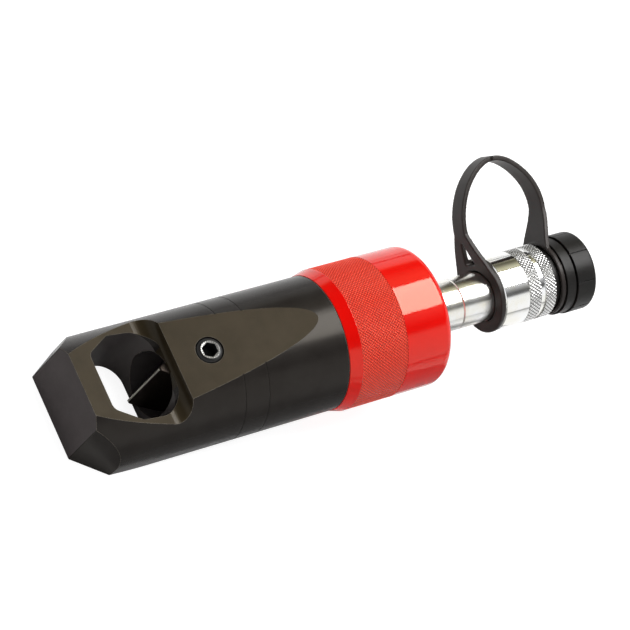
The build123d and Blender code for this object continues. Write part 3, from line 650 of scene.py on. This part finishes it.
def turned_metal(name, low_colour, high_colour, low, high):
    """Turned or drawn metal with a little variation."""
    material, tree = new_material(name)
    place = tree.place()
    normal = soft_normal(tree, 0.2 * MM)
    colour = tree.blend(tree.mottle(place, 200.0), low_colour, high_colour)
    colour = tree.blend(tree.product(near_edge(tree, normal), 0.4), colour, METAL_EDGE)
    rough = tree.mottle(place, 350.0, low, high)
    marks = turning_marks(tree, place, METAL_PITCH)
    bumped = tree.bump(marks, strength=0.2, distance=0.00001, normal=normal)
    shader(tree, Base_Color=colour, Roughness=rough, Metallic=1.0, Normal=bumped)
    return material


def plain_plastic(name, low_colour, high_colour, low, high):
    """Seal rubber or filled plastic, hardly shown."""
    material, tree = new_material(name)
    place = tree.place()
    colour = tree.blend(tree.mottle(place, 250.0), low_colour, high_colour)
    rough = tree.mottle(place, 420.0, low, high)
    bumped = tree.bump(tree.noise(place, scale=2400.0), strength=0.15, distance=0.00004)
    shader(tree, Base_Color=colour, Roughness=rough, Normal=bumped)
    return material


def make_materials():
    materials = {
        "blackened_steel": blackened_steel(),
        "red_paint": red_paint(),
        "tool_steel": tool_steel(),
        "red_knurl": red_knurl(),
        "plated_knurl": plated_knurl(),
        "screw_black": screw_black(),
    }
    tables = (
        (plated, PLATINGS), (rubber, RUBBERS), (turned_metal, METALS), (plain_plastic, PLASTICS),
    )
    for make, table in tables:
        for name, settings in table.items():
            materials[name] = make(name, *settings)
    return materials


def dress_nodes(materials):
    """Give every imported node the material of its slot."""
    for entry in frame["record"]["subparts"]:
        node = frame["nodes"][entry["node"]]
        node.data.materials.clear()
        node.data.materials.append(materials[entry["material_slot"]])


def add_piece(name, bm, material, body, smooth=True):
    """A new mesh piece on a body."""
    mesh = bpy.data.meshes.new(name)
    bmesh.ops.recalc_face_normals(bm, faces=bm.faces)
    bm.to_mesh(mesh)
    bm.free()
    mesh.shade_smooth() if smooth else mesh.shade_flat()
    piece = bpy.data.objects.new(name, mesh)
    bpy.context.scene.collection.objects.link(piece)
    mesh.materials.append(material)
    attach(piece, body)
    return piece


# Knurling: small pyramids between two sets of crossing grooves. Each band has its start and end
# station and its root and crest radius in mm, its teeth and rows, material, body and slot.
SLEEVE_KNURL = (17.25, 17.6, 60, 3, "plated_knurl", "sleeve", "plated_sleeve")
KNURL_BANDS = {
    "grip_knurl": (137.4, 161.6, 32.7, 33.0, 132, 15, "red_knurl", "splitter", "red_paint"),
    "sleeve_knurl_front": (241.2, 247.6, *SLEEVE_KNURL),
    "sleeve_knurl_rear": (250.3, 256.0, *SLEEVE_KNURL),
}
KNURL_STEPS = 4
KNURL_SHARPNESS = 1.5
BAND_DEPTH = 0.3 * MM


def knurl_height(turn, rise):
    """Height of a diamond knurl, 0 in the grooves and 1 at the flats of the points."""
    first = abs((turn + rise) % 1.0 - 0.5) * 2
    second = abs((turn - rise) % 1.0 - 0.5) * 2
    return 1.0 - max(first, second) ** KNURL_SHARPNESS


def knurl_band(name, start, end, root, crest, teeth, rows, material, body, slot):
    """A closed ring from start to end whose outer face carries the knurl."""
    bm = bmesh.new()
    crest_layer = bm.verts.layers.float.new("crest")
    steps_round = teeth * KNURL_STEPS
    steps_along = rows * KNURL_STEPS
    inner = root - BAND_DEPTH
    rings = []
    for i in range(steps_along + 1):
        share = i / steps_along
        ring = []
        for j in range(steps_round):
            turn = j / steps_round
            height = knurl_height(turn * teeth, share * rows)
            station = start + (end - start) * share
            vert = bm.verts.new(tool_point(station, root + (crest - root) * height, turn * tau))
            vert[crest_layer] = height
            ring.append(vert)
        rings.append(ring)
    for share in (1.0, 0.0):
        station = start + (end - start) * share
        angles = [j / steps_round * tau for j in range(steps_round)]
        rings.append([bm.verts.new(tool_point(station, inner, angle)) for angle in angles])
    rings.append(rings[0])
    for low, high in zip(rings, rings[1:]):
        for j in range(steps_round):
            k = (j + 1) % steps_round
            bm.faces.new((low[j], low[k], high[k], high[j]))
    return add_piece(name, bm, material, body, smooth=False)


# Guide screw: a rounded head with a rim round the socket that carries a painted highlight, a shank
# and a dog point
SCREW_SEAT = tool_point(68.9 * MM, 26.37 * MM, pi / 2)
SCREW_HEX = 3.175 * MM
SCREW_STEPS = 144
# Radius and height of the outside in mm, from the tip of the point to the socket's rim
SCREW_OUTSIDE = (
    (0.0, -14.1), (2.6, -14.1), (2.6, -9.92), (3.93, -9.92), (3.93, -7.2), (5.95, -7.2),
    (5.95, -0.75), (5.88, -0.35), (5.62, 0.0), (5.15, 0.33), (4.6, 0.58), (4.28, 0.68),
    (4.16, 0.7), (3.82, 0.52),
)
SCREW_HIGHLIGHT_RADII = (4.16, 3.82)
# Height in mm and crest value of the socket's rings, from its mouth to its floor; the negative
# crest values paint shade inside the socket
SCREW_SOCKET = ((0.45, 0.3), (0.1, -2.5), (-3.3, -2.5))
SCREW_SOCKET_TIP = 0.6
SCREW_CREASE = 28.0


def make_screw(material):
    out = RAMP_UP
    across = out.cross(SIDE)
    bm = bmesh.new()
    crest_layer = bm.verts.layers.float.new("crest")

    def ring(radius_at, height, bright=None):
        verts = []
        for j in range(SCREW_STEPS):
            angle = j / SCREW_STEPS * tau
            radius = radius_at(angle)
            spoke = (across * cos(angle) + SIDE * sin(angle)) * radius
            vert = bm.verts.new(SCREW_SEAT + spoke + out * height)
            if bright is not None:
                # The rim's painted highlight, in dashes
                vert[crest_layer] = bright * (1.0 if j // 3 % 2 else 0.4)
            verts.append(vert)
        return verts

    def hexagon(angle):
        return SCREW_HEX / cos((angle + pi / 6) % (pi / 3) - pi / 6)

    low = bm.verts.new(SCREW_SEAT + out * SCREW_OUTSIDE[0][1] * MM)
    rings = []
    for radius, height in SCREW_OUTSIDE[1:]:
        bright = 1.0 if radius in SCREW_HIGHLIGHT_RADII else None
        rings.append(ring(lambda angle: radius * MM, height * MM, bright))
    for height, crest in SCREW_SOCKET:
        rings.append(ring(hexagon, height * MM, crest))
    bottom = bm.verts.new(SCREW_SEAT + out * (SCREW_SOCKET[-1][0] - SCREW_SOCKET_TIP) * MM)
    bottom[crest_layer] = -1.0
    for first, second in zip(rings, rings[1:]):
        for j in range(SCREW_STEPS):
            k = (j + 1) % SCREW_STEPS
            bm.faces.new((first[j], first[k], second[k], second[j]))
    for j in range(SCREW_STEPS):
        k = (j + 1) % SCREW_STEPS
        bm.faces.new((rings[0][k], rings[0][j], low))
        bm.faces.new((rings[-1][j], rings[-1][k], bottom))
    piece = add_piece("socket_screw", bm, material, "splitter")
    sharpen(piece, SCREW_CREASE)
    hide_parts("guide_screw")


def sharpen(piece, degrees):
    """Keep edges sharp where the faces turn by more than an angle."""
    bm = bmesh.new()
    bm.from_mesh(piece.data)
    for edge in bm.edges:
        edge.smooth = edge.calc_face_angle(0.0) < radians(degrees)
    bm.to_mesh(piece.data)
    bm.free()


# Dust strap: a moulded band, rounded from the plain solid
STRAP_VOXEL = 0.35 * MM
STRAP_SMOOTHING = 6
STRAP_SMOOTH_SHARE = 0.5
STRAP_WELD = 0.001 * MM


def make_strap(material):
    node = frame["nodes"]["dust_strap"]
    mesh = node.data.copy()
    strap = bpy.data.objects.new("moulded_strap", mesh)
    bpy.context.scene.collection.objects.link(strap)
    bm = bmesh.new()
    bm.from_mesh(mesh)
    bmesh.ops.remove_doubles(bm, verts=bm.verts, dist=STRAP_WELD)
    bm.to_mesh(mesh)
    bm.free()
    remesh = strap.modifiers.new("remesh", "REMESH")
    remesh.mode = "VOXEL"
    remesh.voxel_size = STRAP_VOXEL
    smoothing = strap.modifiers.new("smooth", "SMOOTH")
    smoothing.iterations = STRAP_SMOOTHING
    smoothing.factor = STRAP_SMOOTH_SHARE
    bpy.context.view_layer.update()
    evaluated = strap.evaluated_get(bpy.context.evaluated_depsgraph_get())
    done = bpy.data.meshes.new_from_object(evaluated)
    strap.modifiers.clear()
    strap.data = done
    done.shade_smooth()
    done.materials.clear()
    done.materials.append(material)
    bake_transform(strap)
    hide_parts("dust_strap")


# Springs: coils with closed ends
COIL_TURNS = 6
COIL_STEPS = 40
WIRE_STEPS = 12
# Pitch of the closed end turns, in wire radii
CLOSED_PITCH = 2.1
COIL_CREASE = 50.0
# Piece, the node it stands for and the joint that shortens it
SPRINGS = (
    ("return_coil", "return_spring", "ram_stroke"),
    ("poppet_coil", "poppet_spring", "poppet_travel"),
)


def make_spring(name, node_name, material):
    node = frame["nodes"][node_name]
    spots = [TO_TOOL @ (node.matrix_world @ vert.co - AXIS_START) for vert in node.data.vertices]
    start = min(spot.x for spot in spots)
    end = max(spot.x for spot in spots)
    outer = max(spot.yz.length for spot in spots)
    wire = (outer - min(spot.yz.length for spot in spots)) / 2
    closed = CLOSED_PITCH * wire
    height = end - start - 2 * wire
    pitch = (height - 2 * closed) / (COIL_TURNS - 2)
    bm = bmesh.new()
    rings = []
    for i in range(COIL_TURNS * COIL_STEPS + 1):
        turn = i / COIL_STEPS
        open_turns = min(max(turn - 1, 0), COIL_TURNS - 2)
        rise = (turn - open_turns) * closed + open_turns * pitch
        rings.append([])
        for j in range(WIRE_STEPS):
            around = j / WIRE_STEPS * tau
            station = start + wire + rise + sin(around) * wire
            radius = outer - wire + cos(around) * wire
            rings[-1].append(bm.verts.new(tool_point(station, radius, turn * tau)))
    for low, high in zip(rings, rings[1:]):
        for j in range(WIRE_STEPS):
            k = (j + 1) % WIRE_STEPS
            bm.faces.new((low[j], low[k], high[k], high[j]))
    bm.faces.new(rings[0])
    bm.faces.new(rings[-1])
    spring = add_piece(name, bm, material, "splitter")
    sharpen(spring, COIL_CREASE)
    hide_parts(node_name)
    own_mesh(spring)


def main():
    scene = bpy.context.scene
    scene.view_settings.view_transform = "Standard"
    make_camera()
    make_world()
    make_lights()
    make_floor()
    materials = make_materials()
    dress_nodes(materials)
    make_strap(materials["strap_rubber"])
    make_screw(materials["screw_black"])
    for name, node_name, joint in SPRINGS:
        make_spring(name, node_name, materials["spring_steel"])
    for name, (start, end, root, crest, teeth, rows, look, body, slot) in KNURL_BANDS.items():
        sizes = [length * MM for length in (start, end, root, crest)]
        knurl_band(name, *sizes, teeth, rows, materials[look], body, slot)


main()
